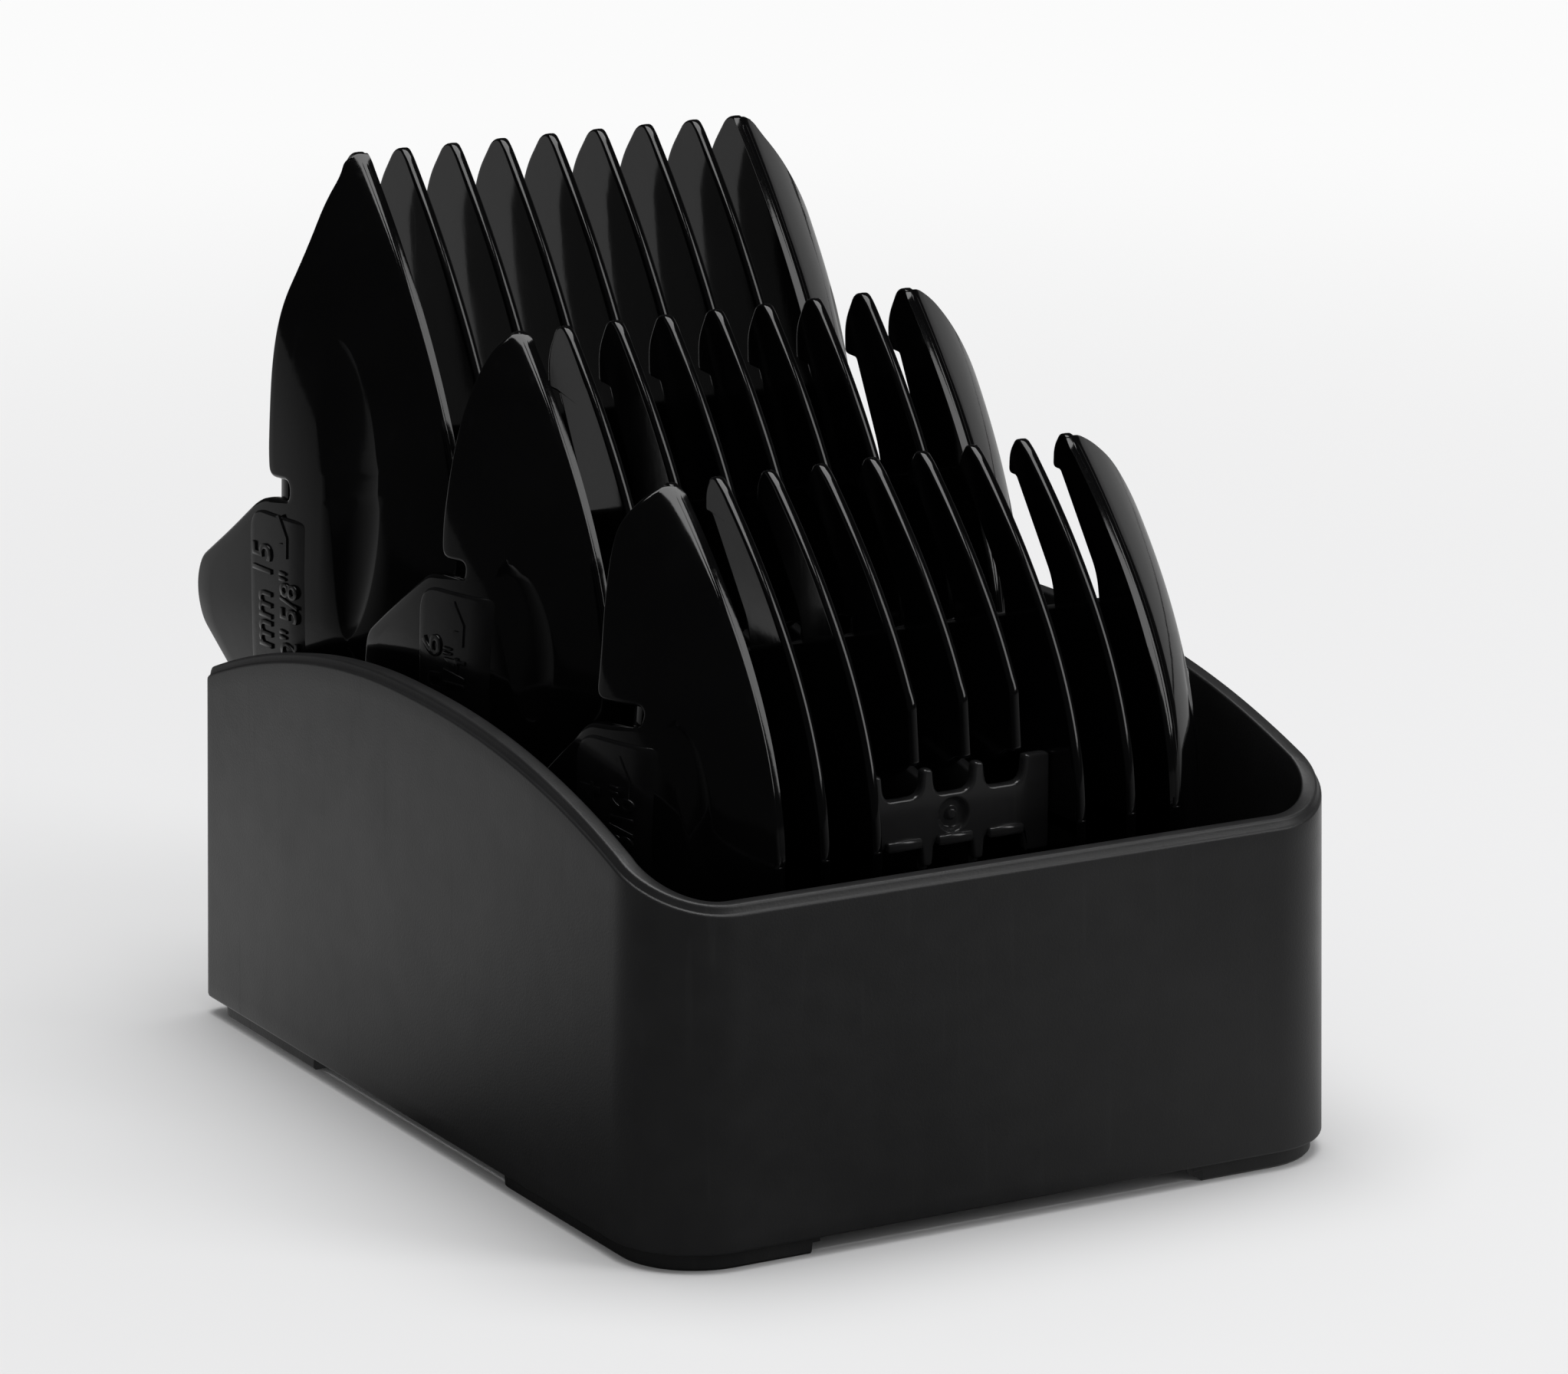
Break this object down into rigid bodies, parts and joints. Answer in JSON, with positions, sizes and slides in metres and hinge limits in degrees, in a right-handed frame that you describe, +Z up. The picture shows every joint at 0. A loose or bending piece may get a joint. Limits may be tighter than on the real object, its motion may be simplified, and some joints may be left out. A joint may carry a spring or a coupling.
{
  "type": "clipper comb tray",
  "caption": "Open desktop tray with humped side walls that stores double-ended guide combs for a hair clipper, standing upright in a rack",
  "frame": {"origin": "on the floor, under the middle of the whole object's box, with the combs down in the tray", "axes": "+X to the right seen from the front, +Y to the rear, +Z up"},
  "size_m": [0.086, 0.1222, 0.0997],
  "materials": {
    "tray_satin": "satin, fine-textured",
    "foot_matte": "matte",
    "rack_satin": "satin",
    "comb_gloss": "high gloss, moulded",
    "comb_panel": "semi-gloss, lightly polished"
  },
  "bodies": {
    "tray": {"tray_shell": "tray_satin", "base_plate": "tray_satin", "corner_feet": "foot_matte", "comb_rack": "rack_satin"},
    "short_comb": {"short_comb_left_cheek": "comb_gloss", "short_comb_right_cheek": "comb_gloss", "short_comb_upper_tines": "comb_gloss", "short_comb_lower_tines": "comb_gloss", "short_comb_blade_bed": "comb_gloss", "short_comb_centre_panel": "comb_panel", "short_comb_size_plates": "comb_panel"},
    "medium_comb": {"medium_comb_left_cheek": "comb_gloss", "medium_comb_right_cheek": "comb_gloss", "medium_comb_upper_tines": "comb_gloss", "medium_comb_lower_tines": "comb_gloss", "medium_comb_blade_bed": "comb_gloss", "medium_comb_centre_panel": "comb_panel", "medium_comb_size_plates": "comb_panel"},
    "long_comb": {"long_comb_left_cheek": "comb_gloss", "long_comb_right_cheek": "comb_gloss", "long_comb_upper_tines": "comb_gloss", "long_comb_lower_tines": "comb_gloss", "long_comb_blade_bed": "comb_gloss", "long_comb_centre_panel": "comb_panel", "long_comb_size_plates": "comb_panel"}
  },
  "joints": [
    {"name": "short_comb_lift", "type": "slide", "parent": "tray", "child": "short_comb", "axis": [0, 0, 1], "range_m": [0, 0.055]},
    {"name": "medium_comb_lift", "type": "slide", "parent": "tray", "child": "medium_comb", "axis": [0, 0, 1], "range_m": [0, 0.055]},
    {"name": "long_comb_lift", "type": "slide", "parent": "tray", "child": "long_comb", "axis": [0, 0, 1], "range_m": [0, 0.055]}
  ]
}
